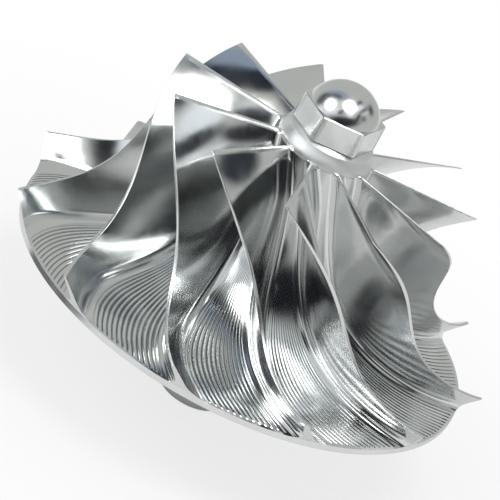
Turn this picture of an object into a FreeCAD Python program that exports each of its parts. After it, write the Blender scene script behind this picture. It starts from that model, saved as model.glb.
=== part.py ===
"""Compressor wheel of a turbocharger: one piece of aluminium, turned and then milled.

The origin is the middle of the boss's end face, +Z runs along the axis to the nose, and lengths are
millimetres. The wheel is made as the real one is: a turned blank with a hexagon nose, a blind threaded
bore in the boss, and one passage between two blades cut eleven times around the axis.
"""
import FreeCAD, Part
import math
import os
import Sketcher

# name, value, what it is. Heights are above the boss's end face unless the line says otherwise.
DIMENSIONS = [
    ("blade_count", 11, "full blades, with no splitters"),
    ("disc_diameter", 88.0, "disc at its rim"),
    ("disc_height", 20.25, "lower edge of the rim"),
    ("rim_thickness", 1.15, "plain band of the rim"),
    ("inducer_diameter", 60.96, "blade tips where the air comes in"),
    ("inducer_above_disc", 36.3, "leading edges, above the rim's lower edge"),
    ("tip_diameter", 94.08, "blade tips where the air leaves, wider than the disc"),
    ("tip_above_disc", 6.0, "those tips, above the rim's lower edge"),
    ("shroud_inlet_pull", 15.9, "straight pull of the tip edge down from the inducer"),
    ("shroud_turn_diameter", 55.82, "pole that turns the tip edge outwards, across the axis"),
    ("shroud_turn_height", 9.65, "that pole, above the rim's lower edge"),
    ("hub_diameter", 18.4, "hub between the leading edges"),
    ("hub_inlet_pull", 35.87, "straight pull of the hub line down from the nose"),
    ("hub_turn_diameter", 68.0, "pole that turns the hub line outwards, across the axis"),
    ("hub_turn_height", 4.5, "that pole, above the rim's lower edge"),
    ("blade_root_thickness", 1.7, "blade at the hub"),
    ("blade_tip_thickness", 0.66, "blade at its free edge"),
    ("leading_edge_share", 0.4, "what is left of that thickness at the leading edge"),
    ("leading_edge_run", 9.0, "length over which the blade thickens behind the leading edge"),
    ("root_fillet_inlet", 1.1, "fillet of hub and blade at the nose"),
    ("root_fillet_outlet", 2.2, "fillet of hub and blade at the rim"),
    ("shoulder_diameter", 16.6, "edge of the sloping ledge under the hexagon"),
    ("shoulder_above_disc", 38.65, "that edge, above the rim's lower edge"),
    ("hex_flats", 14.0, "hexagon across its flats"),
    ("hex_above_disc", 39.2, "top of the ledge round the hexagon's foot, above the rim's lower edge"),
    ("hex_height", 5.22, "hexagon along the axis, from the top of the ledge"),
    ("hex_corner_turn", 10.8, "one corner, turned from the X axis in degrees"),
    ("dome_diameter", 13.8, "foot of the dome on the hexagon"),
    ("dome_height", 4.95, "dome above the hexagon"),
    ("boss_diameter", 13.0, "boss under the disc"),
    ("boss_chamfer", 0.5, "edge of its end face"),
    ("back_radius", 13.0, "hollow curve from the boss to the disc's back"),
    ("back_slope", 5.0, "fall of the disc's back towards the boss in degrees"),
    ("pilot_diameter", 8.4, "counterbore that centres the wheel on its shaft"),
    ("pilot_depth", 4.0, "its depth"),
    ("thread_core_diameter", 7.0, "core of the M8 by 1 thread in the blind bore"),
    ("thread_depth", 24.0, "full bore from the boss's end face"),
    ("drill_point_depth", 2.0, "cone at the end of the bore"),
    ("first_blade_turn", 169.69, "tip of the first leading edge, turned from the X axis in degrees"),
]

# Wrap of the blade in degrees, as four evenly spaced poles from the leading to the trailing edge.
WRAPS = [
    ("shroud_wrap", (0.0, 41.57, 47.33, 61.48), "of the blade's free edge"),
    ("hub_wrap", (-2.1, 60.0, 39.74, 66.27), "of the blade's root"),
]

Vector = FreeCAD.Vector
doc = FreeCAD.newDocument("compressor_wheel")


def make_sheet():
    """Writes the driving dimensions into a spreadsheet, one aliased cell each."""
    sheet = doc.addObject("Spreadsheet::Sheet", "dims")
    rows = list(DIMENSIONS)
    for name, poles, note in WRAPS:
        for number, angle in enumerate(poles):
            rows.append((name + "_" + "abcd"[number], angle, "wrap pole %d %s" % (number, note)))
    for row, (name, value, note) in enumerate(rows, 1):
        sheet.set("A%d" % row, name)
        sheet.set("B%d" % row, str(value))
        sheet.set("C%d" % row, note)
        sheet.setAlias("B%d" % row, name)
    doc.recompute()
    return sheet


dims = make_sheet()


def size(name):
    """The value of one cell."""
    return float(dims.get(name))


# ---- the turned blank ------------------------------------------------------------------------------

def origin_plane(body, role):
    for feature in body.Origin.OriginFeatures:
        if feature.Role == role:
            return feature


def new_sketch(body, name, role):
    """A sketch on one of the body's own origin planes."""
    sketch = body.newObject("Sketcher::SketchObject", name)
    sketch.AttachmentSupport = [(origin_plane(body, role), "")]
    sketch.MapMode = "FlatFace"
    return sketch


class Outline:
    """A closed outline in a sketch whose corners are bound to the sheet."""

    def __init__(self, sketch):
        self.sketch = sketch
        self.first = None
        self.last = None

    def number(self, formula):
        value = self.sketch.evalExpression(formula)
        return float(getattr(value, "Value", value))

    def point(self, corner):
        return Vector(self.number(corner[0]), self.number(corner[1]), 0)

    def bind(self, geometry, end, corner):
        """Holds a point of the sketch at the corner's two formulas."""
        for kind, formula in zip(("DistanceX", "DistanceY"), corner):
            if formula == "0":
                axis = -2 if kind == "DistanceX" else -1
                self.sketch.addConstraint(Sketcher.Constraint("PointOnObject", geometry, end, axis))
                continue
            spot = self.sketch.addConstraint(
                Sketcher.Constraint(kind, -1, 1, geometry, end, self.number(formula)))
            self.sketch.setExpression("Constraints[%d]" % spot, formula)

    def join(self, geometry, enter=1, leave=2):
        """Ties the point where the new piece starts to the end of the piece before it."""
        if self.last is None:
            self.first = (geometry, enter)
        else:
            self.sketch.addConstraint(Sketcher.Constraint("Coincident", *self.last, geometry, enter))
        self.last = (geometry, leave)

    def line(self, start, end):
        geometry = self.sketch.addGeometry(Part.LineSegment(self.point(start), self.point(end)), False)
        if self.last is None:
            self.bind(geometry, 1, start)
        self.join(geometry)
        return geometry

    def line_to(self, start, end):
        self.bind(self.line(start, end), 2, end)

    def spline_to(self, poles):
        """A cubic curve on four poles, each of them bound to the sheet."""
        points = [self.point(pole) for pole in poles]
        curve = Part.BSplineCurve(points, None, None, False, 3, None, False)
        geometry = self.sketch.addGeometry(curve, False)
        circles = []
        for number, point in enumerate(points):
            circle = self.sketch.addGeometry(Part.Circle(point, Vector(0, 0, 1), 1.0), True)
            circles.append(circle)
            self.sketch.addConstraint(Sketcher.Constraint("Weight", circle, 1.0))
            self.sketch.addConstraint(Sketcher.Constraint(
                "InternalAlignment:Sketcher::BSplineControlPoint", circle, 3, geometry, number))
        self.join(geometry)
        for circle, pole in zip(circles[1:], poles[1:]):
            self.bind(circle, 3, pole)

    def hollow_to(self, start, end, centre, radius):
        """An arc that runs clockwise from start to end."""
        middle = self.point(centre)
        angles = [math.atan2(spot.y - middle.y, spot.x - middle.x) for spot in map(self.point, (end, start))]
        circle = Part.Circle(middle, Vector(0, 0, 1), self.number(radius))
        geometry = self.sketch.addGeometry(Part.ArcOfCircle(circle, *angles), False)
        self.join(geometry, 2, 1)
        self.bind(geometry, 1, end)
        spot = self.sketch.addConstraint(Sketcher.Constraint("Radius", geometry, self.number(radius)))
        self.sketch.setExpression("Constraints[%d]" % spot, radius)

    def dome_to(self, start, end):
        """An arc that ends square to the axis, its centre on the axis."""
        foot = self.point(start)
        top = self.point(end)
        rise = top.y - foot.y
        radius = (foot.x ** 2 + rise ** 2) / (2 * rise)
        centre = Vector(0, top.y - radius, 0)
        low = math.atan2(foot.y - centre.y, foot.x)
        circle = Part.Circle(centre, Vector(0, 0, 1), radius)
        geometry = self.sketch.addGeometry(Part.ArcOfCircle(circle, low, math.pi / 2), False)
        self.join(geometry)
        self.sketch.addConstraint(Sketcher.Constraint("PointOnObject", geometry, 3, -2))
        self.bind(geometry, 2, end)

    def close(self):
        """Ends at the first corner, along the axis."""
        start = self.sketch.getPoint(*self.last)
        end = self.sketch.getPoint(*self.first)
        geometry = self.sketch.addGeometry(Part.LineSegment(start, end), False)
        self.join(geometry)
        self.sketch.addConstraint(Sketcher.Constraint("Coincident", *self.last, *self.first))


RIM = "dims.disc_height"
INDUCER = RIM + " + dims.inducer_above_disc"
SHOULDER = RIM + " + dims.shoulder_above_disc"
HEX_FOOT = RIM + " + dims.hex_above_disc"
HEX_TOP = HEX_FOOT + " + dims.hex_height"
APEX = HEX_TOP + " + dims.dome_height"

# Poles of the two lines that bound a blade, as radius and height, from the nose to the rim.
TIP_EDGE = [
    ("dims.inducer_diameter / 2", INDUCER),
    ("dims.inducer_diameter / 2", INDUCER + " - dims.shroud_inlet_pull"),
    ("dims.shroud_turn_diameter / 2", RIM + " + dims.shroud_turn_height"),
    ("dims.tip_diameter / 2", RIM + " + dims.tip_above_disc"),
]
HUB_LINE = [
    ("dims.hub_diameter / 2", INDUCER),
    ("dims.hub_diameter / 2", INDUCER + " - dims.hub_inlet_pull"),
    ("dims.hub_turn_diameter / 2", RIM + " + dims.hub_turn_height"),
    ("dims.disc_diameter / 2", RIM + " + dims.rim_thickness"),
]


# The back's hollow curve touches the boss at its foot and the sloping back at its top.
BACK_ACROSS = "(dims.boss_diameter / 2 + dims.back_radius)"
BACK_CENTRE = (
    BACK_ACROSS,
    RIM + " - (dims.disc_diameter / 2 - " + BACK_ACROSS + ") * tan(dims.back_slope * 1 deg)"
    " - dims.back_radius / cos(dims.back_slope * 1 deg)",
)
BACK_FOOT = ("dims.boss_diameter / 2", BACK_CENTRE[1])
BACK_TOP = (
    BACK_CENTRE[0] + " - dims.back_radius * sin(dims.back_slope * 1 deg)",
    BACK_CENTRE[1] + " + dims.back_radius * cos(dims.back_slope * 1 deg)",
)


def draw_blank(sketch):
    """Half section of the turned blank: boss, back, rim, tip edge, neck, core of the nose and dome."""
    boss = "dims.boss_diameter / 2"
    shoulder = "dims.shoulder_diameter / 2"
    dome = "dims.dome_diameter / 2"
    outline = Outline(sketch)
    outline.line_to(("0", "0"), (boss + " - dims.boss_chamfer", "0"))
    outline.line_to((boss + " - dims.boss_chamfer", "0"), (boss, "dims.boss_chamfer"))
    outline.line_to((boss, "dims.boss_chamfer"), BACK_FOOT)
    outline.hollow_to(BACK_FOOT, BACK_TOP, BACK_CENTRE, "dims.back_radius")
    outline.line_to(BACK_TOP, ("dims.disc_diameter / 2", RIM))
    outline.line_to(("dims.disc_diameter / 2", RIM), HUB_LINE[-1])
    outline.line_to(HUB_LINE[-1], TIP_EDGE[-1])
    outline.spline_to(TIP_EDGE[::-1])
    outline.line_to(TIP_EDGE[0], HUB_LINE[0])
    outline.spline_to([
        HUB_LINE[0],
        ("dims.hub_diameter / 2", RIM + " + (2 * dims.inducer_above_disc + dims.shoulder_above_disc) / 3"),
        ("(dims.hub_diameter + 3 * dims.shoulder_diameter) / 8",
         RIM + " + (dims.inducer_above_disc + 2 * dims.shoulder_above_disc) / 3"),
        (shoulder, SHOULDER),
    ])
    outline.line_to((shoulder, SHOULDER), (dome, HEX_FOOT))
    outline.line_to((dome, HEX_FOOT), (dome, HEX_TOP))
    outline.dome_to((dome, HEX_TOP), ("0", APEX))
    outline.close()


def draw_bore(sketch):
    """Half section of the pilot counterbore, the thread's core and the drill point."""
    pilot = "dims.pilot_diameter / 2"
    core = "dims.thread_core_diameter / 2"
    outline = Outline(sketch)
    outline.line_to(("0", "0"), (pilot, "0"))
    outline.line_to((pilot, "0"), (pilot, "dims.pilot_depth"))
    outline.line_to((pilot, "dims.pilot_depth"), (core, "dims.pilot_depth"))
    outline.line_to((core, "dims.pilot_depth"), (core, "dims.thread_depth"))
    outline.line_to((core, "dims.thread_depth"), ("0", "dims.thread_depth + dims.drill_point_depth"))
    outline.close()


def draw_hexagon(sketch):
    """Six equal sides on a circle, with one corner at the stated angle."""
    radius = size("hex_flats") / math.sqrt(3)
    turn = math.radians(size("hex_corner_turn"))
    corners = []
    for number in range(6):
        angle = turn + number * math.pi / 3
        corners.append(Vector(radius * math.cos(angle), radius * math.sin(angle), 0))
    circle = sketch.addGeometry(Part.Circle(Vector(0, 0, 0), Vector(0, 0, 1), radius), True)
    sketch.addConstraint(Sketcher.Constraint("Coincident", circle, 3, -1, 1))
    spot = sketch.addConstraint(Sketcher.Constraint("Radius", circle, radius))
    sketch.setExpression("Constraints[%d]" % spot, "dims.hex_flats / sqrt(3)")
    sides = [sketch.addGeometry(Part.LineSegment(corners[i], corners[(i + 1) % 6]), False)
             for i in range(6)]
    for i, side in enumerate(sides):
        sketch.addConstraint(Sketcher.Constraint("Coincident", side, 2, sides[(i + 1) % 6], 1))
        sketch.addConstraint(Sketcher.Constraint("PointOnObject", side, 1, circle))
        if i:
            sketch.addConstraint(Sketcher.Constraint("Equal", sides[0], side))
    ray = sketch.addGeometry(Part.LineSegment(Vector(0, 0, 0), corners[0]), True)
    sketch.addConstraint(Sketcher.Constraint("Coincident", ray, 1, -1, 1))
    sketch.addConstraint(Sketcher.Constraint("Coincident", ray, 2, sides[0], 1))
    spot = sketch.addConstraint(Sketcher.Constraint("Angle", -1, 1, ray, 1, turn))
    sketch.setExpression("Constraints[%d]" % spot, "dims.hex_corner_turn * 1 deg")


def make_blank():
    """The blank before its passages are milled."""
    body = doc.addObject("PartDesign::Body", "blank")
    section = new_sketch(body, "blank_section", "XZ_Plane")
    draw_blank(section)
    turned = body.newObject("PartDesign::Revolution", "turned")
    turned.Profile = section
    turned.ReferenceAxis = (section, ["V_Axis"])
    turned.Angle = 360
    doc.recompute()

    hexagon = new_sketch(body, "hexagon", "XY_Plane")
    hexagon.setExpression("AttachmentOffset.Base.z", SHOULDER)
    draw_hexagon(hexagon)
    nut = body.newObject("PartDesign::Pad", "hexagon_pad")
    nut.Profile = hexagon
    nut.setExpression("Length", "dims.hex_above_disc + dims.hex_height - dims.shoulder_above_disc")
    doc.recompute()

    section = new_sketch(body, "bore_section", "XZ_Plane")
    draw_bore(section)
    bore = body.newObject("PartDesign::Groove", "bore")
    bore.Profile = section
    bore.ReferenceAxis = (section, ["V_Axis"])
    bore.Angle = 360
    doc.recompute()
    return body


# ---- the passages between the blades ---------------------------------------------------------------

STATIONS = 14       # places along a passage where its section is drawn
BEFORE = 0.08       # how far the cutter starts ahead of the leading edge, as a share of the blade
BEYOND = 0.16       # how far it runs out past the trailing edge
CUT_ABOVE = 5.0     # how far it reaches over the blades' free edge
FILLET_STRIPS = 3   # narrow strips that make up a fillet
ROUND = 0.5523      # pull that makes a cubic curve follow a quarter circle


def evaluate(formula):
    value = dims.evalExpression(formula.replace("dims.", ""))
    return float(getattr(value, "Value", value))


def cubic(poles, t):
    """A cubic Bezier function of t."""
    a, b, c, d = poles
    return a * (1 - t) ** 3 + b * (3 * t * (1 - t) ** 2) + c * (3 * t * t * (1 - t)) + d * t ** 3


class BladeLine:
    """One long edge of the blade's middle surface: on the hub, or the free edge under the shroud."""

    def __init__(self, poles, wrap, thickness):
        self.curve = Part.BezierCurve()
        self.curve.setPoles([Vector(evaluate(radius), 0, evaluate(height)) for radius, height in poles])
        self.length = self.curve.length()
        self.angles = [size(wrap + "_" + letter) for letter in "abcd"]
        self.half = thickness / 2

    def meridian(self, share):
        """Radius and height at a share of the length, straight on past either end."""
        inside = min(max(share, 0.0), 1.0)
        t = self.curve.parameterAtDistance(self.length * inside, 0.0)
        past = self.curve.tangent(t)[0] * ((share - inside) * self.length)
        return self.curve.value(t) + past

    def turn(self, share):
        """How far the blade has wrapped, in radians, at a steady rate past either end."""
        inside = min(max(share, 0.0), 1.0)
        near = min(max(inside, 0.001), 0.999)
        rate = (cubic(self.angles, near + 0.001) - cubic(self.angles, near - 0.001)) / 0.002
        return math.radians(cubic(self.angles, inside) + rate * (share - inside))

    def slant(self, share):
        """Cosine of the angle between the blade and a plane through the axis."""
        rate = (self.turn(share + 0.001) - self.turn(share - 0.001)) / 0.002
        around = self.meridian(share).x * rate
        return self.length / math.hypot(self.length, around)

    def half_thickness(self, share):
        """Half the blade's thickness, which tapers smoothly towards the leading edge."""
        run = min(max(share * self.length / size("leading_edge_run"), 0.0), 1.0)
        thin = size("leading_edge_share")
        return self.half * (thin + (1 - thin) * run * run * (3 - 2 * run))

    def flank(self, share, side, away=0.0):
        """A point beside the line, half the thickness and so much more from it, and its angle."""
        spot = self.meridian(share)
        shift = (self.half_thickness(share) + away) / self.slant(share) / spot.x
        angle = self.turn(share) + side * shift
        return Vector(spot.x * math.cos(angle), spot.x * math.sin(angle), spot.z), angle


def turned(point, angle):
    """The point turned round the axis by an angle in radians."""
    return FreeCAD.Rotation(Vector(0, 0, 1), math.degrees(angle)).multVec(point)


def rounded(start, corner, end):
    """Points along a curve that leaves start and reaches end in the directions of their corner."""
    poles = [start, start + (corner - start) * ROUND, end + (corner - end) * ROUND, end]
    return [cubic(poles, number / FILLET_STRIPS) for number in range(FILLET_STRIPS + 1)]


def wall_poles(root, tip, share, side, step):
    """Poles of one wall and of the fillet at its foot, from the top down to the floor."""
    part = min(max(share, 0.0), 1.0)
    fillet = size("root_fillet_inlet") * (1 - part) + size("root_fillet_outlet") * part
    foot = turned(root.flank(share, side)[0], step)
    top = turned(tip.flank(share, side)[0], step)
    floor = turned(root.flank(share, side, fillet)[0], step)
    up = (top - foot).normalize()
    start = foot + up * fillet
    return {
        "wall": [top + up * CUT_ABOVE, start],
        "fillet": rounded(start, foot, floor),
        "angle": root.flank(share, side, fillet)[1] + step,
    }


def floor_poles(root, share, first, last):
    """Poles of the arc round the axis between two angles."""
    spot = root.meridian(share)
    pull = 4 / 3 * math.tan((last - first) / 4) * spot.x
    start = Vector(spot.x * math.cos(first), spot.x * math.sin(first), spot.z)
    end = Vector(spot.x * math.cos(last), spot.x * math.sin(last), spot.z)
    return [start, start + Vector(-math.sin(first), math.cos(first), 0) * pull,
            end - Vector(-math.sin(last), math.cos(last), 0) * pull, end]


def lid_poles(trough):
    """The straight line over the trough's open side, in as many pieces as the trough has."""
    first = trough[0][0]
    span = trough[-1][-1] - first
    points = [first + span * (number / len(trough)) for number in range(len(trough) + 1)]
    return list(zip(points, points[1:]))


def bezier_edge(poles):
    curve = Part.BezierCurve()
    curve.setPoles(list(poles))
    return curve.toShape()


def end_faces(trough, lid):
    """Faces between the pieces of a trough and those of its lid, the outermost ones triangles."""
    first, second = lid[0]
    last = lid[-1]
    faces = [
        Part.Face(Part.makePolygon([first, second, trough[0][-1], first])),
        Part.Face(Part.makePolygon([last[0], last[1], trough[-1][0], last[0]])),
    ]
    for poles, above in list(zip(trough, lid))[1:-1]:
        faces.append(Part.makeRuledSurface(bezier_edge(poles), bezier_edge(above)))
    return faces


def strip(rows):
    """A surface whose cross sections have the given poles, one row of them for each station."""
    share = [number / (len(rows) - 1) for number in range(len(rows))]
    columns = []
    for line in zip(*rows):
        curve = Part.BSplineCurve()
        curve.interpolate(Points=list(line), Parameters=share)
        columns.append(curve)
    surface = Part.BSplineSurface()
    degree = len(columns) - 1
    guide = columns[0]
    surface.buildFromPolesMultsKnots(
        [[column.getPole(number + 1) for column in columns] for number in range(guide.NbPoles)],
        guide.getMultiplicities(), [degree + 1, degree + 1],
        guide.getKnots(), [0.0, 1.0], False, False, guide.Degree, degree)
    return surface.toShape()


def make_cutter():
    """The space between one blade and the next: two walls, two fillets, the hub's floor and a lid."""
    root = BladeLine(HUB_LINE, "hub_wrap", size("blade_root_thickness"))
    tip = BladeLine(TIP_EDGE, "shroud_wrap", size("blade_tip_thickness"))
    step = 2 * math.pi / size("blade_count")
    sections = []
    for number in range(STATIONS + 1):
        share = number / STATIONS * (1 + BEFORE + BEYOND) - BEFORE
        near = wall_poles(root, tip, share, 1, 0.0)
        far = wall_poles(root, tip, share, -1, step)
        trough = [near["wall"]]
        trough += zip(near["fillet"], near["fillet"][1:])
        trough.append(floor_poles(root, share, near["angle"], far["angle"]))
        trough += zip(far["fillet"][::-1], far["fillet"][-2::-1])
        trough.append(far["wall"][::-1])
        sections.append((trough, lid_poles(trough)))
    faces = []
    for part in (0, 1):
        faces += [strip(rows) for rows in zip(*[section[part] for section in sections])]
    faces += end_faces(*sections[0]) + end_faces(*sections[-1])
    shell = Part.makeShell(faces)
    shell.sewShape()
    solid = Part.makeSolid(shell)
    if solid.Volume < 0:
        solid.reverse()
    return solid


def make_passages():
    """The cutter, once for each blade, round the axis."""
    cutter = make_cutter()
    count = int(size("blade_count"))
    places = []
    for number in range(count):
        place = cutter.copy()
        place.rotate(Vector(0, 0, 0), Vector(0, 0, 1), size("first_blade_turn") + number * 360 / count)
        places.append(place)
    passages = doc.addObject("Part::Feature", "passages")
    passages.Shape = Part.makeCompound(places)
    return passages


def check(objects):
    """Stops the build where an object failed or holds no sound shape."""
    for item in objects:
        if "Invalid" in item.State or "Error" in item.State:
            raise RuntimeError(item.Name + " failed")
        if hasattr(item, "Shape") and (item.Shape.isNull() or not item.Shape.isValid()):
            raise RuntimeError(item.Name + " has no sound shape")


def main():
    wheel = doc.addObject("Part::Cut", "compressor_wheel")
    wheel.Label = "compressor_wheel"
    wheel.Base = make_blank()
    wheel.Tool = make_passages()
    doc.recompute()
    check(doc.Objects)
    if len(wheel.Shape.Solids) != 1:
        raise RuntimeError("the wheel fell into %d solids" % len(wheel.Shape.Solids))
    os.makedirs("parts", exist_ok=True)
    wheel.Shape.Solids[0].exportStep("parts/%s.step" % wheel.Label)
    print("%s: %.1f mm3" % (wheel.Label, wheel.Shape.Volume))


main()
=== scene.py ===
"""Looks of a turbocharger's compressor wheel: bright milled aluminium on a pale studio floor."""
import bpy
import math
import numpy as np
from mathutils import Matrix, Vector


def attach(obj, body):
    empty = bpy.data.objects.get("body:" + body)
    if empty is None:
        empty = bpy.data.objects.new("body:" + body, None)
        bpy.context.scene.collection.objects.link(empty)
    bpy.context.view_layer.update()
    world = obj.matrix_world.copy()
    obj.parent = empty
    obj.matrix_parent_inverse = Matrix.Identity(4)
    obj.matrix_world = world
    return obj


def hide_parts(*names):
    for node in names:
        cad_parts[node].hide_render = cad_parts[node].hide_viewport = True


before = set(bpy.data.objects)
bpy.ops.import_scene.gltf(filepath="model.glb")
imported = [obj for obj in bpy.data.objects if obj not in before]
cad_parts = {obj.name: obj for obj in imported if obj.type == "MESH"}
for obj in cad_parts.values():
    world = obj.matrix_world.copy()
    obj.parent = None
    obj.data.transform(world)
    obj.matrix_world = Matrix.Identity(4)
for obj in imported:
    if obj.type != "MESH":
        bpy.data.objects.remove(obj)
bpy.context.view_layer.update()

NODE = "compressor_wheel"
MM = 0.001

# ---- sizes, the same as the solid's, in millimetres -------------------------------------------------

BLADES = 11
DISC_R = 44.0
RIM_Z = 20.25                    # lower edge of the disc's rim
RIM_BAND = 1.15
INDUCER_R = 30.48
INDUCER_Z = RIM_Z + 36.3         # plane of the leading edges
HUB_R = 9.2
TIP_R = 47.04
TIP_Z = RIM_Z + 6.0
ROOT_THICKNESS = 1.7
TIP_THICKNESS = 0.66
LEADING_SHARE = 0.4              # what is left of the thickness at the leading edge
LEADING_RUN = 9.0                # length over which the blade thickens
FILLET_INLET = 1.1
FILLET_OUTLET = 2.2
SHOULDER_R = 8.3
SHOULDER_Z = RIM_Z + 38.65
HEX_FLATS = 14.0
HEX_Z = RIM_Z + 39.2
HEX_HEIGHT = 5.22
HEX_TURN = math.radians(10.8)    # one corner, from the X axis
DOME_R = 6.9
DOME_HEIGHT = 4.95
BOSS_R = 6.5
BOSS_CHAMFER = 0.5
BACK_RADIUS = 13.0
BACK_SLOPE = math.radians(5.0)
PILOT_R = 4.2
PILOT_DEPTH = 4.0
CORE_R = 3.5
THREAD_DEPTH = 24.0              # full bore, from the boss's end face
DRILL_POINT = 2.0
THREAD_PITCH = 1.0
FIRST_TURN = math.radians(169.69)

# Radius and height of the four poles of each blade line, from the nose to the rim.
TIP_EDGE = np.array([(INDUCER_R, INDUCER_Z), (INDUCER_R, INDUCER_Z - 15.9), (27.91, RIM_Z + 9.65),
                     (TIP_R, TIP_Z)])
HUB_LINE = np.array([(HUB_R, INDUCER_Z), (HUB_R, INDUCER_Z - 35.87), (34.0, RIM_Z + 4.5),
                     (DISC_R, RIM_Z + RIM_BAND)])
TIP_WRAP = np.radians([0.0, 41.57, 47.33, 61.48])
HUB_WRAP = np.radians([-2.1, 60.0, 39.74, 66.27])

# ---- finish of the forms, which the solid leaves out, in millimetres --------------------------------

RIDGES = 13                      # cutter paths across the floor of a passage
CUTTER_R = 0.8                   # ball-end cutter that left them
RIDGES_END = 0.994               # share of the passage at which they are gone
RIDGES_SINK = 0.006              # share over which they sink before that
LINE_HALF = 0.25                 # half width of the painted shade line on a ridge, as a share of the ridge
EDGE_BREAK = 0.07                # broken corners along the blades' free edges and the rim
NOSE = 0.45                      # length of the rounded leading edge
NECK_LAP = 0.15                  # how far the neck goes on below the rounded leading edges
HIDDEN_LAP = 0.3                 # how far a face goes on under the one that hides it
HEX_GAP = 0.15                   # slot between the sloping ledge and the hexagon's flat underside
HEX_BEVEL = 0.12
PILOT_CHAMFER = 0.2
THREAD_HEIGHT = 0.5
THREAD_SLOPE = 2.6               # how steep the thread's flanks are
THREAD_FLAT = 0.15               # how wide its grooves' bottoms are
THREAD_END = 2.5                 # plain length at the end of the bore

# ---- how finely the meshes are divided --------------------------------------------------------------

ALONG = 150                      # mesh rows along a passage
CLOSE_SHARE = 0.02               # rows are closer from this share before the ridges' end
CLOSE_ROWS = 16                  # from there to the rim
WALL_ROWS = 20                   # from a blade's free edge down to its root fillet
FILLET_ROWS = 8
RIDGE_ROWS = 8                   # mesh rows across one ridge
EDGE_COLUMNS = 5                 # across a blade's free edge
NOSE_ROWS = 13                   # round a leading edge
END_ROWS = 9                     # across a blade's end face
AROUND = 264                     # mesh columns round the axis
THREAD_ROWS = 10                 # for each millimetre of the bore
THREAD_AROUND = 48
POINT_ROWS = 8                   # down the drill point
POINT_OPEN = 0.02                # share of the drill point's radius that stays open at its tip
POLE_OPEN = 0.004                # angle that stays open at the dome's pole
HEX_COLUMNS = 9                  # for each side of the hexagon
HEX_ROWS = 5

SAMPLES = 4001                   # points that measure the length of a blade line
STEP = 0.001                     # share over which a direction is measured
CIRCLE_PULL = 0.5523             # pull of a Bezier curve's poles that makes a quarter circle


# ---- the blades' lines ------------------------------------------------------------------------------

def cubic(poles, t):
    """A cubic Bezier function of t, for numbers or for points."""
    a, b, c, d = poles
    return a * (1 - t) ** 3 + b * 3 * t * (1 - t) ** 2 + c * 3 * t * t * (1 - t) + d * t ** 3


def polar(radius, angle, height):
    """Points from radius, angle and height, which can be numbers or rows of them."""
    radius, angle, height = np.broadcast_arrays(radius, angle, height)
    return np.stack([radius * np.cos(angle), radius * np.sin(angle), height], axis=-1)


def unit(vectors):
    """Vectors of length one."""
    return vectors / np.linalg.norm(vectors, axis=-1, keepdims=True)


def turned(points, angle):
    """Points turned round the axis."""
    cos, sin = math.cos(angle), math.sin(angle)
    x, y, z = points[..., 0], points[..., 1], points[..., 2]
    return np.stack([x * cos - y * sin, x * sin + y * cos, z], axis=-1)


class BladeLine:
    """One long edge of the blade's middle surface: on the hub, or the free edge under the shroud."""

    def __init__(self, poles, wrap, thickness):
        self.poles = poles
        self.wrap = wrap
        self.half = thickness / 2
        self.t = np.linspace(0, 1, SAMPLES)
        steps = np.linalg.norm(np.diff(cubic(poles[:, None], self.t[:, None]), axis=0), axis=1)
        run = np.concatenate([[0.0], np.cumsum(steps)])
        self.length = run[-1]
        self.share = run / self.length

    def meridian(self, share):
        """Radius and height at a share of the length."""
        t = np.interp(share, self.share, self.t)
        return cubic(self.poles[:, None], t[:, None]).T

    def normal(self, share):
        """Direction away from the hub, as radius and height."""
        run = self.meridian(np.minimum(share + STEP, 1)) - self.meridian(np.maximum(share - STEP, 0))
        return unit(np.stack([-run[1], run[0]], axis=-1)).T

    def turn(self, share):
        """Angle of the line round the axis."""
        return cubic(self.wrap, share)

    def slant(self, share):
        """Cosine of the angle between the blade and a plane through the axis."""
        near = np.clip(share, STEP, 1 - STEP)
        rate = (self.turn(near + STEP) - self.turn(near - STEP)) / (2 * STEP)
        return self.length / np.hypot(self.length, self.meridian(share)[0] * rate)

    def half_thickness(self, share):
        """Half the blade's thickness, which tapers towards the leading edge."""
        run = np.clip(share * self.length / LEADING_RUN, 0, 1)
        return self.half * (LEADING_SHARE + (1 - LEADING_SHARE) * run * run * (3 - 2 * run))

    def angle(self, share, side, away=0.0):
        """Angle of a point beside the line, half the thickness and so much more from it."""
        shift = (self.half_thickness(share) + away) / self.slant(share) / self.meridian(share)[0]
        return self.turn(share) + side * shift

    def flank(self, share, side, away=0.0):
        """Points beside the line, half the thickness and so much more from it."""
        radius, height = self.meridian(share)
        return polar(radius, self.angle(share, side, away), height)


ROOT = BladeLine(HUB_LINE, HUB_WRAP, ROOT_THICKNESS)
TIP = BladeLine(TIP_EDGE, TIP_WRAP, TIP_THICKNESS)
PASSAGE_STEP = 2 * math.pi / BLADES


# ---- a passage between two blades -------------------------------------------------------------------

def wall(share, side):
    """One flank and its root fillet, from the free edge down to the floor, for an array of shares.

    Returns the points, one column for each row of the mesh, and the angle where the floor starts.
    """
    fillet = FILLET_INLET * (1 - share) + FILLET_OUTLET * share
    foot = ROOT.flank(share, side)
    top = TIP.flank(share, side)
    floor = ROOT.flank(share, side, fillet)
    up = unit(top - foot)
    start = foot + up * fillet[:, None]
    high = top - up * EDGE_BREAK
    poles = [start, start + (foot - start) * CIRCLE_PULL, floor + (foot - floor) * CIRCLE_PULL, floor]
    rows = [high + (start - high) * part for part in np.linspace(0, 1, WALL_ROWS + 1)]
    rows += [cubic(poles, part) for part in np.linspace(0, 1, FILLET_ROWS + 1)[1:]]
    return np.stack(rows, axis=1), ROOT.angle(share, side, fillet)


def passage_rows():
    """Shares along a passage, closer together where the ridges run out before the rim."""
    close = RIDGES_END - CLOSE_SHARE
    return np.concatenate([np.linspace(NOSE / TIP.length, close, ALONG),
                           np.linspace(close, 1.0, CLOSE_ROWS + 1)[1:]])


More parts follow.
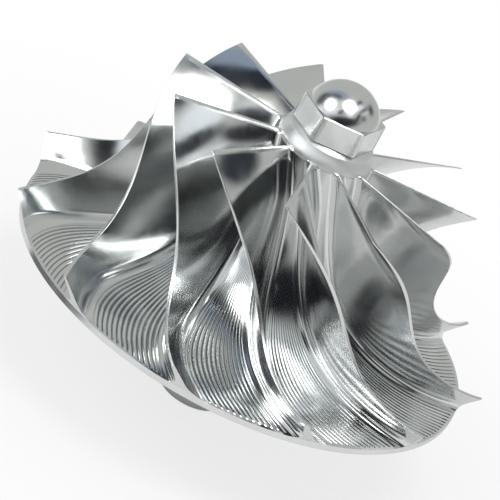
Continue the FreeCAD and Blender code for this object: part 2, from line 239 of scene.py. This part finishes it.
def passage_points():
    """The trough between one blade and the next: wall, fillet, ridged floor, fillet and wall.

    Returns the points, and how much painted shade each one gets from the dark line along its ridge.
    """
    share = passage_rows()
    near, first = wall(share, 1)
    far, last = wall(share, -1)
    far = turned(far, PASSAGE_STEP)
    last = last + PASSAGE_STEP
    radius, height = ROOT.meridian(share)
    out, up = ROOT.normal(share)
    # A ridge's height grows with the square of the spacing between the cutter's paths.
    spacing = (last - first) * radius * ROOT.slant(share) / RIDGES
    left = np.clip((RIDGES_END - share) / RIDGES_SINK, 0, 1)
    across = np.linspace(0, 1, RIDGES * RIDGE_ROWS + 1)
    phase = across * RIDGES % 1.0
    lift = (spacing ** 2 / (8 * CUTTER_R) * left)[:, None] * (2 * phase - 1) ** 2
    angles = first[:, None] + (last - first)[:, None] * across
    floor = polar(radius[:, None] + out[:, None] * lift, angles, height[:, None] + up[:, None] * lift)
    # Painted shade: a dark line along each ridge, darkest at its crest.
    dark = np.maximum(1 - np.minimum(phase, 1 - phase) / LINE_HALF, 0)
    lines = np.concatenate([np.zeros(near.shape[1]), dark[1:-1], np.zeros(far.shape[1])])
    return np.concatenate([near, floor[:, 1:-1], far[:, ::-1]], axis=1), left[:, None] * lines


# ---- meshes -----------------------------------------------------------------------------------------

def grid_faces(rows, columns, closed=False):
    """Quads between the points of a grid, joined round if it is closed."""
    r = np.arange(rows - 1)[:, None]
    c = np.arange(columns if closed else columns - 1)[None, :]
    after = (c + 1) % columns
    quads = np.stack(np.broadcast_arrays(r * columns + c, r * columns + after,
                                         (r + 1) * columns + after, (r + 1) * columns + c), axis=-1)
    return quads.reshape(-1, 4)


def distances(points, axis):
    """Running distance along one direction of a grid, for texture coordinates."""
    steps = np.linalg.norm(np.diff(points, axis=axis), axis=-1)
    lead = np.zeros_like(np.take(steps, [0], axis=axis))
    return np.concatenate([lead, np.cumsum(steps, axis=axis)], axis=axis)


def make_mesh(name, grids, metal, flip=False):
    """A mesh from several grids of points in millimetres, with running lengths as its UV map.

    Each grid comes with whether it is closed round, and flip turns the faces over.
    """
    points, faces, uvs, base = [], [], [], 0
    for grid, closed in grids:
        rows, columns = grid.shape[:2]
        quads = grid_faces(rows, columns, closed)
        if flip:
            quads = quads[:, ::-1]
        along = np.mean(distances(grid, 0), axis=1, keepdims=True) + np.zeros((1, columns))
        across = distances(grid, 1)
        across = across - across[:, columns // 2][:, None]
        uvs.append(np.stack([along, across], axis=-1).reshape(-1, 2)[quads.ravel()])
        points.append(grid.reshape(-1, 3))
        faces.append(quads + base)
        base += rows * columns
    points, faces, uvs = np.concatenate(points), np.concatenate(faces), np.concatenate(uvs)
    mesh = bpy.data.meshes.new(name)
    mesh.vertices.add(len(points))
    mesh.vertices.foreach_set("co", (points * MM).astype(np.float32).ravel())
    mesh.loops.add(faces.size)
    mesh.loops.foreach_set("vertex_index", faces.ravel().astype(np.int32))
    mesh.polygons.add(len(faces))
    mesh.polygons.foreach_set("loop_start", np.arange(0, faces.size, 4, dtype=np.int32))
    mesh.update(calc_edges=True)
    mesh.validate()
    layer = mesh.uv_layers.new(name="lengths")
    layer.data.foreach_set("uv", uvs.astype(np.float32).ravel())
    mesh.polygons.foreach_set("use_smooth", np.ones(len(mesh.polygons), dtype=bool))
    mesh.materials.append(metal.owner)
    return mesh


def mark_ridges(mesh, rows, columns, metal, painted_shade):
    """Gives a passage's mesh sharp ridge lines, its floor's own metal, and the painted shade along its
    ridges.
    """
    first = WALL_ROWS + FILLET_ROWS
    ridge_lines = first + RIDGE_ROWS * np.arange(1, RIDGES)
    ends = np.empty(2 * len(mesh.edges), dtype=np.int32)
    mesh.edges.foreach_get("vertices", ends)
    ends = ends.reshape(-1, 2) % columns
    sharp = (ends[:, 0] == ends[:, 1]) & np.isin(ends[:, 0], ridge_lines)
    mesh.edges.foreach_set("use_edge_sharp", sharp)
    place = grid_faces(rows, columns)[:, 0] % columns
    on_floor = (place >= first) & (place < first + RIDGE_ROWS * RIDGES)
    mesh.materials.append(metal.owner)
    mesh.polygons.foreach_set("material_index", on_floor.astype(np.int32))
    # The painted shade along the ridges goes into a colour attribute.
    shade_layer = mesh.color_attributes.new("painted_ridge_shade", "FLOAT_COLOR", "POINT")
    shade_layer.data.foreach_set("color", np.repeat(painted_shade.ravel(), 4).astype(np.float32))


def add_object(mesh):
    """An object of the same name for a mesh, in the scene."""
    made = bpy.data.objects.new(mesh.name, mesh)
    bpy.context.scene.collection.objects.link(made)
    return made


pieces = []


def add_piece(mesh):
    """A piece of the wheel's looks, which moves with it."""
    piece = add_object(mesh)
    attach(piece, "root")
    pieces.append(piece)


# ---- shader nodes -----------------------------------------------------------------------------------

class Nodes:
    """The node tree of a material or the world, with short ways to fill it."""

    def __init__(self, owner):
        self.owner = owner
        owner.use_nodes = True
        self.tree = owner.node_tree

    def feed(self, socket, value):
        """Links a node's output to a socket, or sets a plain value on it."""
        if isinstance(value, bpy.types.NodeSocket):
            self.tree.links.new(value, socket)
        else:
            socket.default_value = value

    def node(self, kind, *inputs, **settings):
        """A new node with its settings and its first inputs."""
        made = self.tree.nodes.new(kind)
        for name, value in settings.items():
            setattr(made, name, value)
        for socket, value in zip(made.inputs, inputs):
            self.feed(socket, value)
        return made

    def math(self, operation, *values):
        """The result of a sum, product or other operation on numbers."""
        return self.node("ShaderNodeMath", *values, operation=operation).outputs["Value"]

    def vector(self, operation, *values):
        """The node of an operation on vectors."""
        return self.node("ShaderNodeVectorMath", *values, operation=operation)

    def place(self):
        """Where a point lies in its own object, in metres."""
        return self.node("ShaderNodeTexCoord").outputs["Object"]

    def moved(self, value, start, end, new_start, new_end, **settings):
        """A value moved from one range to another, and kept within it."""
        made = self.node("ShaderNodeMapRange", **settings)
        for name, number in (("Value", value), ("From Min", start), ("From Max", end),
                             ("To Min", new_start), ("To Max", new_end)):
            self.feed(made.inputs[name], number)
        return made.outputs["Result"]

    def mix(self, share, under, over):
        """One colour laid over another by a share."""
        made = self.node("ShaderNodeMix", data_type="RGBA")
        for name, value in (("Factor", share), ("A", under), ("B", over)):
            self.feed(made.inputs[name], value)
        return made.outputs["Result"]

    def blend(self, share, under, over):
        """One shader laid over another by a share."""
        return self.node("ShaderNodeMixShader", share, under.outputs[0], over.outputs[0])

    def any_ray(self, first, *others):
        """One for the kinds of ray that are named, and nothing for the rest."""
        path = self.node("ShaderNodeLightPath")
        found = path.outputs[first]
        for other in others:
            found = self.math("MAXIMUM", found, path.outputs[other])
        return found


# ---- procedural metal -------------------------------------------------------------------------------

class Metal(Nodes):
    """Bright aluminium with its own tool marks, and a tone and roughness that vary a little."""

    DULLEST = 0.93                   # share of the colour that is left in the dullest places
    DULL_RANGE = (0.35, 0.65)        # from where the noise gives the dullest colour to the full one
    SMOOTHEST = 0.75                 # shares of the roughness in the smoothest and roughest places
    ROUGHEST = 1.3
    ROUGH_RANGE = (0.3, 0.7)

    def __init__(self, name, colour, roughness):
        super().__init__(bpy.data.materials.new(name))
        self.surface = self.tree.nodes["Principled BSDF"].inputs
        self.height = None
        self.surface["Metallic"].default_value = 1.0
        self.surface["Base Color"].default_value = (*colour, 1)
        place = self.place()
        self.tone = self.ramp(self.noise(place, scale=90, detail=3.0), colour)
        self.feed(self.surface["Base Color"], self.tone)
        patches = self.noise(place, scale=260, detail=4.0)
        low, high = roughness * self.SMOOTHEST, roughness * self.ROUGHEST
        self.feed(self.surface["Roughness"], self.moved(patches, *self.ROUGH_RANGE, low, high))

    def noise(self, vector, scale, detail):
        """Cloudy values round a half, at a scale and with finer and finer detail."""
        made = self.node("ShaderNodeTexNoise")
        for name, value in (("Scale", scale), ("Detail", detail), ("Vector", vector)):
            self.feed(made.inputs[name], value)
        return made.outputs["Fac"]

    def ramp(self, value, colour):
        """A colour that grows from its dullest to its full tone with a value."""
        made = self.node("ShaderNodeValToRGB", value)
        for element, place, left in zip(made.color_ramp.elements, self.DULL_RANGE, (self.DULLEST, 1)):
            element.position = place
            element.color = (*(left * part for part in colour), 1)
        return made.outputs["Color"]

    def bump(self, value, depth):
        """Adds a height pattern, with the depth of its marks in millimetres."""
        made = self.node("ShaderNodeBump")
        for name, number in (("Strength", 1.0), ("Distance", depth * MM), ("Height", value)):
            self.feed(made.inputs[name], number)
        if self.height is not None:
            self.feed(made.inputs["Normal"], self.height)
        self.height = made.outputs["Normal"]
        self.feed(self.surface["Normal"], self.height)

    def cutter_marks(self, along, across, detail, depth):
        """Marks of a cutter, by how often they change in a millimetre along and across its path."""
        lengths = self.node("ShaderNodeUVMap", uv_map="lengths").outputs["UV"]
        squeeze = self.node("ShaderNodeMapping")
        self.feed(squeeze.inputs["Vector"], lengths)
        self.feed(squeeze.inputs["Scale"], (along, across, 1.0))
        self.bump(self.noise(squeeze.outputs["Vector"], scale=1.0, detail=detail), depth)

    def lathe_marks(self, depth):
        """Rings left by turning, which change with the distance from the axis and the height."""
        x, y, z = self.node("ShaderNodeSeparateXYZ", self.place()).outputs
        squares = self.math("ADD", self.math("MULTIPLY", x, x), self.math("MULTIPLY", y, y))
        radius = self.math("MULTIPLY", self.math("SQRT", squares), 1 / MM)
        rings = self.node("ShaderNodeCombineXYZ", radius, self.math("MULTIPLY", z, 1 / MM))
        self.bump(self.noise(rings.outputs["Vector"], scale=9.0, detail=2.0), depth)

    def paint_shade(self, attribute, colour):
        """Paints shade into the metal's colour where a colour attribute of the mesh says so."""
        mark = self.node("ShaderNodeVertexColor", layer_name=attribute).outputs["Color"]
        self.feed(self.surface["Base Color"], self.mix(mark, self.tone, (*colour, 1)))


BRIGHT = (0.81, 0.825, 0.82)

milled = Metal("milled_aluminium", BRIGHT, roughness=0.10)
# Painted shade: the ridges' crests darkened in the floor's colour.
milled.paint_shade("painted_ridge_shade", (0.20, 0.21, 0.215))
milled.cutter_marks(along=0.08, across=4.0, detail=2.0, depth=0.0006)
milled.cutter_marks(along=0.05, across=0.9, detail=1.0, depth=0.0020)

flank_milled = Metal("flank_milled_aluminium", BRIGHT, roughness=0.125)
flank_milled.cutter_marks(along=0.08, across=3.0, detail=2.0, depth=0.0006)
flank_milled.cutter_marks(along=0.05, across=0.9, detail=1.0, depth=0.0020)

turned_metal = Metal("turned_aluminium", BRIGHT, roughness=0.2)
turned_metal.lathe_marks(depth=0.002)

faced = Metal("faced_aluminium", (0.80, 0.82, 0.805), roughness=0.24)
faced.cutter_marks(along=0.3, across=12.0, detail=3.0, depth=0.0016)

satin = Metal("satin_aluminium", BRIGHT, roughness=0.5)
satin.lathe_marks(depth=0.0015)

# ---- blades and passages ----------------------------------------------------------------------------

trough, painted_ridge_shade = passage_points()
near_edge = trough[:, :WALL_ROWS + FILLET_ROWS + 1]
far_edge = turned(trough[:, ::-1][:, :WALL_ROWS + FILLET_ROWS + 1], -PASSAGE_STEP)


def edge_strip():
    """The free edge of a blade under the shroud, with broken corners."""
    shares = passage_rows()
    radius, height = TIP.meridian(shares)
    inset = EDGE_BREAK / TIP.slant(shares) / radius
    low, high = TIP.angle(shares, -1) + inset, TIP.angle(shares, 1) - inset
    top = [polar(radius, low + (high - low) * part, height) for part in np.linspace(0, 1, EDGE_COLUMNS)]
    return np.stack([far_edge[:, 0]] + top + [near_edge[:, 0]], axis=1)


def rounded_front(strip):
    """The rounded leading edge, with its cap at the free edge and its flare at the root."""
    ahead, _ = wall(np.array([0.0]), 1)
    behind, _ = wall(np.array([0.0]), -1)
    middle = (near_edge[0] + far_edge[0]) / 2
    half = (near_edge[0] - far_edge[0]) / 2
    reach = (ahead[0] + behind[0]) / 2 - middle
    reach *= ((INDUCER_Z - middle[:, 2]) / reach[:, 2])[:, None]
    centre = (strip[0, 1] + strip[0, -2]) / 2
    over = (strip[0, -2] - strip[0, 1]) / 2
    tip_reach = reach[0] * (INDUCER_Z - centre[2]) / reach[0][2]
    middle = np.concatenate([[centre, centre], middle])
    half = np.concatenate([[over * 0, over], half])
    reach = np.concatenate([[tip_reach, tip_reach], reach])
    angles = np.linspace(-math.pi / 2, math.pi / 2, NOSE_ROWS)
    return np.stack([middle + half * math.sin(a) + reach * math.cos(a) for a in angles])


def end_face(strip):
    """The blade's flared end above the disc's rim, on the cone between rim and free edge."""
    sides = []
    for corner, side in ((strip[-1, 1], far_edge[-1]), (strip[-1, -2], near_edge[-1])):
        x, y, z = np.concatenate([[corner], side]).T
        sides.append(np.stack([np.hypot(x, y), np.unwrap(np.arctan2(y, x)), z]))
    low, high = sides
    high[1] += 2 * math.pi * np.round((low[1] - high[1]) / (2 * math.pi))
    return np.stack([polar(*(low + (high - low) * part)) for part in np.linspace(0, 1, END_ROWS)])


edge = edge_strip()
edge_grids = (edge, rounded_front(edge), end_face(edge))

for number in range(BLADES):
    angle = FIRST_TURN + number * PASSAGE_STEP
    passage = make_mesh("passage_%02d" % (number + 1), [(turned(trough, angle), False)], flank_milled)
    mark_ridges(passage, *trough.shape[:2], milled, painted_ridge_shade)
    add_piece(passage)
    add_piece(make_mesh("blade_edge_%02d" % (number + 1),
                        [(turned(grid, angle), False) for grid in edge_grids], faced))


# ---- rim, back, boss and bore -----------------------------------------------------------------------

def revolved(*profiles):
    """Grids of points round the axis, one for each profile of radius and height."""
    angles = np.arange(AROUND) * 2 * math.pi / AROUND
    profiles = [np.array(profile, dtype=float) for profile in profiles]
    return [(polar(profile[:, :1], angles[None, :], profile[:, 1:]), True) for profile in profiles]


def line(start, end, count=2):
    """Points of a straight stretch of a profile."""
    start, end = np.array(start, dtype=float), np.array(end, dtype=float)
    return [tuple(start + (end - start) * part) for part in np.linspace(0, 1, count)]


def arc(centre, radius, start, end, count):
    """Points of a round stretch of a profile."""
    angles = np.linspace(start, end, count)
    return [(centre[0] + radius * math.cos(a), centre[1] + radius * math.sin(a)) for a in angles]


def disc_back():
    """Rim band, hollow back and boss, each grid a smooth part of the profile from the floor inwards."""
    centre = (BOSS_R + BACK_RADIUS,
              RIM_Z - (DISC_R - BOSS_R - BACK_RADIUS) * math.tan(BACK_SLOPE)
              - BACK_RADIUS / math.cos(BACK_SLOPE))
    join = (centre[0] - BACK_RADIUS * math.sin(BACK_SLOPE), centre[1] + BACK_RADIUS * math.cos(BACK_SLOPE))
    back_edge = (DISC_R - EDGE_BREAK, RIM_Z)
    slope = line(back_edge, join, count=24)
    hollow = arc(centre, BACK_RADIUS, math.pi / 2 + BACK_SLOPE, math.pi, count=40)
    boss_side = line((BOSS_R, centre[1]), (BOSS_R, BOSS_CHAMFER), count=8)
    pilot_mouth = PILOT_R + PILOT_CHAMFER
    return revolved(line((DISC_R, RIM_Z + RIM_BAND), (DISC_R, RIM_Z + EDGE_BREAK), count=5),
                    line((DISC_R, RIM_Z + EDGE_BREAK), back_edge),
                    slope + hollow[1:] + boss_side[1:],
                    line((BOSS_R, BOSS_CHAMFER), (BOSS_R - BOSS_CHAMFER, 0)),
                    line((BOSS_R - BOSS_CHAMFER, 0), (pilot_mouth, 0), count=6),
                    line((pilot_mouth, 0), (PILOT_R, PILOT_CHAMFER)),
                    line((PILOT_R, PILOT_CHAMFER), (PILOT_R, PILOT_DEPTH), count=6),
                    line((PILOT_R, PILOT_DEPTH), (CORE_R + THREAD_HEIGHT, PILOT_DEPTH)))


def threaded_bore():
    """The M8 by 1 thread in the blind hole, from the pilot bore to the drill's point."""
    rows = round((THREAD_DEPTH - PILOT_DEPTH) * THREAD_ROWS)
    height = PILOT_DEPTH + np.arange(rows + 1)[:, None] / THREAD_ROWS
    turn = np.arange(THREAD_AROUND + 1)[None, :] / THREAD_AROUND
    phase = (height / THREAD_PITCH - turn) % 1.0
    crest = np.clip(np.abs(phase - 0.5) * THREAD_SLOPE - THREAD_FLAT, 0, 1)
    left = np.clip((THREAD_DEPTH - THREAD_END - height) / THREAD_PITCH, 0, 1)
    thread = polar(CORE_R + THREAD_HEIGHT * (1 - crest) * left, turn * 2 * math.pi, height)
    share = np.linspace(1, POINT_OPEN, POINT_ROWS)[:, None]
    point = polar(CORE_R * share, turn * 2 * math.pi, THREAD_DEPTH + DRILL_POINT * (1 - share))
    return [(thread, False), (point, False)]


add_piece(make_mesh("disc_back", disc_back(), turned_metal, flip=True))
add_piece(make_mesh("threaded_bore", threaded_bore(), turned_metal, flip=True))


# ---- nose: the hub's neck, the hexagon and the dome -------------------------------------------------

def neck():
    """The neck between the leading edges, its turn in to the shoulder, and the sloping ledge above."""
    poles = np.array([(HUB_R, INDUCER_Z), (HUB_R, (2 * INDUCER_Z + SHOULDER_Z) / 3),
                      ((HUB_R + 3 * SHOULDER_R) / 4, (INDUCER_Z + 2 * SHOULDER_Z) / 3),
                      (SHOULDER_R, SHOULDER_Z)])
    straight = line((HUB_R, INDUCER_Z - NOSE - NECK_LAP), (HUB_R, INDUCER_Z), count=4)
    turn_in = [cubic(poles, part) for part in np.linspace(0, 1, 17)[1:]]
    slope = (HEX_Z - SHOULDER_Z) / (SHOULDER_R - DOME_R)
    ledge_end = (DOME_R - HIDDEN_LAP, HEX_Z + HIDDEN_LAP * slope)
    return revolved(straight + turn_in, line((SHOULDER_R, SHOULDER_Z), ledge_end, count=6))


def hexagon():
    """The hexagon's sides with bevelled corners and upper edge, its upper face and its underside."""
    across = HEX_FLATS / 2
    half = across * math.tan(math.pi / 6) - HEX_BEVEL
    outline = []
    for number in range(6):
        angle = HEX_TURN + (number + 0.5) * math.pi / 3
        for shift in np.linspace(-half, half, HEX_COLUMNS):
            outline.append((across * math.cos(angle) - shift * math.sin(angle),
                            across * math.sin(angle) + shift * math.cos(angle)))
    outline = np.array(outline)
    inner = outline * (1 - HEX_BEVEL / across)
    low, high = HEX_Z + HEX_GAP, HEX_Z + HEX_HEIGHT

    def ring(points, height):
        return np.concatenate([points, np.full((len(points), 1), height)], axis=1)

    def face(points, height):
        circle = unit(points) * (DOME_R - HIDDEN_LAP)
        return np.stack([ring(circle + (points - circle) * part, height)
                         for part in np.linspace(0, 1, HEX_ROWS)])

    sides = np.stack([ring(outline, z) for z in np.linspace(low, high - HEX_BEVEL, HEX_ROWS)])
    bevel = np.stack([ring(outline, high - HEX_BEVEL), ring(inner, high)])
    return [(sides, True), (bevel, True), (face(inner, high)[::-1], True), (face(outline, low), True)]


def dome():
    """The domed end, a segment of a ball."""
    base = HEX_Z + HEX_HEIGHT
    ball_r = (DOME_R ** 2 + DOME_HEIGHT ** 2) / (2 * DOME_HEIGHT)
    centre = base + DOME_HEIGHT - ball_r
    start = math.atan2(base - centre, DOME_R)
    return revolved(arc((0, centre), ball_r, start, math.pi / 2 - POLE_OPEN, count=48))


add_piece(make_mesh("hub_nose", neck(), satin))
add_piece(make_mesh("nose_hexagon", hexagon(), faced))
add_piece(make_mesh("nose_dome", dome(), turned_metal))

for piece in pieces:
    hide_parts(NODE)

# ---- camera, with lengths in metres -----------------------------------------------------------------

ELEVATION = math.radians(25.872)
ROLL = math.radians(28.887)
DISTANCE = 2.0
AIM_RIGHT = -0.002852            # from the middle of the disc's lower face
AIM_UP = 0.009227
LENS = 793.66
SENSOR = 36
SHIFT_X = 0.0015
SHIFT_Y = 0.00206
SIGHT = 20                       # how far the camera sees

forward = Vector((0, math.cos(ELEVATION), -math.sin(ELEVATION)))
right = Vector((1, 0, 0))
upward = right.cross(forward)
across_view = right * math.cos(ROLL) + upward * math.sin(ROLL)
up_view = upward * math.cos(ROLL) - right * math.sin(ROLL)
aim = right * AIM_RIGHT + upward * AIM_UP + Vector((0, 0, RIM_Z * MM))

camera = bpy.data.objects.new("camera", bpy.data.cameras.new("camera"))
camera.data.sensor_width = SENSOR
camera.data.lens = LENS
camera.data.shift_x = SHIFT_X
camera.data.shift_y = SHIFT_Y
camera.data.clip_end = SIGHT
camera.matrix_world = Matrix.Translation(aim - forward * DISTANCE) @ Matrix(
    (across_view, up_view, -forward)).transposed().to_4x4()
bpy.context.scene.collection.objects.link(camera)
bpy.context.scene.camera = camera


def seen_at(turn, rise):
    """A direction from how far it lies to the right of the camera and above it, in degrees."""
    turn, rise = math.radians(turn), math.radians(rise)
    level = math.cos(rise)
    return (across_view * (math.sin(turn) * level) + up_view * math.sin(rise)
            - forward * (math.cos(turn) * level)).normalized()


# ---- lamps ------------------------------------------------------------------------------------------

LAMP_DISTANCE = 1.2


def softbox(name, turn, rise, width, watts):
    """A round lamp, by its direction from the wheel and its width as an angle."""
    direction = seen_at(turn, rise)
    lamp = bpy.data.lights.new(name, "AREA")
    lamp.shape = "DISK"
    lamp.size = 2 * LAMP_DISTANCE * math.tan(math.radians(width) / 2)
    lamp.energy = watts
    box = bpy.data.objects.new(name, lamp)
    box.location = aim + direction * LAMP_DISTANCE
    box.rotation_euler = direction.to_track_quat("Z", "Y").to_euler()
    bpy.context.scene.collection.objects.link(box)


softbox("softbox_left", turn=-34, rise=41, width=26, watts=4.8)
softbox("softbox_right", turn=33, rise=34, width=31, watts=6.4)


# ---- studio round the wheel, which the metal mirrors and the camera doesn't see ---------------------

STUDIO = (0.51, 0.52, 0.505)
STUDIO_R = 2.4
STUDIO_Z = 0.03
STUDIO_ROWS = 24
STUDIO_COLUMNS = 72
STUDIO_RISE = (-0.001, 1.57)     # angle of its lowest and highest rows
PATCH_EDGE = (1.5, 0.5)          # how far out a patch starts and is full, in halves of its width, squared

# Each softly bounded patch: its turn, rise, width, height and tilt in degrees, and its colour.
PATCHES = {
    "wall below the softboxes": (-18, 24, 58, 20, 4, (0.84, 0.87, 0.91)),
    "cool ceiling over the left softbox": (-26, 78, 60, 18, 0, (0.28, 0.34, 0.43)),
    "dark beam over the left softbox": (-31, 67, 40, 15, 0, (0.015, 0.02, 0.03)),
    "dark corner far left": (-80, 50, 28, 34, 0, (0.05, 0.055, 0.07)),
    "gap over the right softbox": (14, 58, 30, 9, 0, (0.16, 0.17, 0.19)),
    "bright wall on the left": (-65, 4, 36, 56, 0, (0.95, 0.97, 1.0)),
    "dark room behind the camera": (3, -8, 106, 31, -4, (0.012, 0.014, 0.018)),
    "bright wall below the right softbox": (29, 13, 20, 18, 0, (0.85, 0.88, 0.92)),
    "dark gap between the softboxes": (4, 21, 24, 12, 20, (0.012, 0.015, 0.02)),
    "dark lintel over the window": (72, 39, 24, 8, 0, (0.06, 0.065, 0.08)),
    "cool window on the right": (63, 26, 34, 14, 0, (0.90, 0.96, 1.0)),
    "dark doorway on the right": (52, 4, 28, 10, 48, (0.012, 0.015, 0.02)),
    "dim door on the right": (70, 1, 20, 14, 0, (0.16, 0.17, 0.19)),
    "dark lintel on the right": (76, 20, 36, 8, 8, (0.03, 0.035, 0.045)),
    "light strip on the right": (78, 13, 30, 5, 16, (0.85, 0.88, 0.92)),
    "dark corner on the right": (104, 16, 22, 18, 36, (0.03, 0.035, 0.045)),
}


def stage_material(name):
    """The nodes of an empty material."""
    made = Nodes(bpy.data.materials.new(name))
    made.tree.nodes.clear()
    return made


def stage_object(name, points, faces, material):
    """A thing of the studio's, which isn't a piece of the wheel."""
    mesh = bpy.data.meshes.new(name)
    mesh.from_pydata(points, [], faces)
    mesh.materials.append(material.owner)
    return add_object(mesh)


def only_mirrored(thing):
    """Leaves a thing to reflections alone."""
    thing.visible_camera = False
    thing.visible_diffuse = False
    thing.visible_shadow = False


def patch_share(nodes, direction, turn, rise, width, height, tilt):
    """How much of a patch covers a direction, from none to all, with a soft edge."""
    middle = seen_at(turn, rise)
    side = seen_at(turn + 90, 0)
    over = middle.cross(side)
    tilt = math.radians(tilt)
    first = side * math.cos(tilt) + over * math.sin(tilt)
    second = over * math.cos(tilt) - side * math.sin(tilt)
    squares = []
    for along, size in ((first, width), (second, height)):
        part = nodes.vector("DOT_PRODUCT", direction, along / math.sin(math.radians(size) / 2))
        squares.append(nodes.math("POWER", part.outputs["Value"], 2.0))
    inside = nodes.moved(nodes.math("ADD", *squares), *PATCH_EDGE, 0.0, 1.0,
                         interpolation_type="SMOOTHSTEP")
    ahead = nodes.vector("DOT_PRODUCT", direction, middle).outputs["Value"]
    return nodes.math("MULTIPLY", inside, nodes.math("GREATER_THAN", ahead, 0.0))


studio_nodes = stage_material("grey_studio")
studio_nodes.owner.cycles.emission_sampling = "NONE"
direction = studio_nodes.vector("NORMALIZE", studio_nodes.place()).outputs["Vector"]
colour = (*STUDIO, 1)
for *form, shade in PATCHES.values():
    colour = studio_nodes.mix(patch_share(studio_nodes, direction, *form), colour, (*shade, 1))
glow = studio_nodes.node("ShaderNodeEmission", colour)
studio_nodes.node("ShaderNodeOutputMaterial", glow.outputs[0])

rise = np.linspace(*STUDIO_RISE, STUDIO_ROWS)[:, None]
turn = np.linspace(0, 2 * math.pi, STUDIO_COLUMNS, endpoint=False)[None, :]
rows = polar(STUDIO_R * np.cos(rise), turn, STUDIO_R * np.sin(rise))
studio = stage_object("grey_studio", rows.reshape(-1, 3).tolist(),
                      grid_faces(STUDIO_ROWS, STUDIO_COLUMNS, True).tolist(), studio_nodes)
studio.location = (0, 0, STUDIO_Z)
only_mirrored(studio)


# ---- dark cards: the dark room's edge at the front left, and a painted shadow flat on the floor at the left ------

FLAG_DISTANCE = 0.16
# Turn and rise of the flag's corners, in degrees.
FLAG_CORNERS = ((-58, -38), (-58, -8), (-40, 4), (-20, 0), (-8, -22), (-20, -40), (-40, -46))
# Painted shadow: a dark card where the floor lies in the wheel's shadow under the rim, seen only in the
# metal's reflections.
CARD_LEFT = -0.13
CARD_RIGHT = -0.06
CARD_FRONT = -0.07
CARD_BACK = -0.005
CARD_Z = 0.0005


def dark_card(name, corners, shade):
    """A dark card that only the metal's reflections see."""
    nodes = stage_material(name)
    glow = nodes.node("ShaderNodeEmission", (*shade, 1))
    nodes.node("ShaderNodeOutputMaterial", glow.outputs[0])
    card = stage_object(name, corners, [tuple(range(len(corners)))], nodes)
    only_mirrored(card)


dark_card("black_flag", [aim + seen_at(*corner) * FLAG_DISTANCE for corner in FLAG_CORNERS],
          (0.012, 0.014, 0.018))
# Painted shadow of the floor under the rim, for the reflections.
dark_card("painted_shadow_card", [(CARD_LEFT, CARD_FRONT, CARD_Z), (CARD_RIGHT, CARD_FRONT, CARD_Z),
                        (CARD_RIGHT, CARD_BACK, CARD_Z), (CARD_LEFT, CARD_BACK, CARD_Z)],
          (0.16, 0.165, 0.17))


# ---- floor: keeps the wheel's soft shadow, melts into the white backdrop, and is clear from below ---

FLOOR_SHADE = (0.67, 0.67, 0.67)
FLOOR_HALF = 6
FLOOR_Z = -0.0002
FLOOR_MIRRORED = 0.08            # how white it is in reflections
FLOOR_NEAR = 0.045
FLOOR_FAR = 0.12
FLOOR_NEAR_SHARE = 0.76          # how white it is out to its near distance, beside its far white

floor_nodes = stage_material("pale_floor")
pale = floor_nodes.node("ShaderNodeBsdfDiffuse", (*FLOOR_SHADE, 1))
white = floor_nodes.node("ShaderNodeEmission")
mirrored = floor_nodes.math("MULTIPLY", floor_nodes.any_ray("Is Glossy Ray", "Is Transmission Ray"),
                            FLOOR_MIRRORED)
seen = floor_nodes.math("MAXIMUM", floor_nodes.any_ray("Is Camera Ray"), mirrored)
away = floor_nodes.vector("LENGTH", floor_nodes.place()).outputs["Value"]
fade = floor_nodes.moved(away, FLOOR_NEAR, FLOOR_FAR, FLOOR_NEAR_SHARE, 1.0)
above = floor_nodes.blend(floor_nodes.math("MULTIPLY", seen, fade), pale, white)
from_below = floor_nodes.node("ShaderNodeNewGeometry").outputs["Backfacing"]
onesided = floor_nodes.blend(from_below, above, floor_nodes.node("ShaderNodeBsdfTransparent"))
floor_nodes.node("ShaderNodeOutputMaterial", onesided.outputs[0])

floor_corners = [(-FLOOR_HALF, -FLOOR_HALF, FLOOR_Z), (FLOOR_HALF, -FLOOR_HALF, FLOOR_Z),
                 (FLOOR_HALF, FLOOR_HALF, FLOOR_Z), (-FLOOR_HALF, FLOOR_HALF, FLOOR_Z)]
floor = stage_object("floor", floor_corners, [(0, 1, 2, 3)], floor_nodes)

# ---- world: white where it is seen, and softer as light ---------------------------------------------

WORLD_LIGHT = 0.65

world = bpy.context.scene.world or bpy.data.worlds.new("studio")
bpy.context.scene.world = world
world_nodes = Nodes(world)
world_nodes.tree.nodes.clear()
soft = world_nodes.node("ShaderNodeBackground", (1, 1, 1, 1), WORLD_LIGHT)
white = world_nodes.node("ShaderNodeBackground", (1, 1, 1, 1))
seen = world_nodes.any_ray("Is Camera Ray", "Is Glossy Ray", "Is Transmission Ray")
world_nodes.node("ShaderNodeOutputWorld", world_nodes.blend(seen, soft, white).outputs[0])

bpy.context.scene.view_settings.view_transform = "Standard"
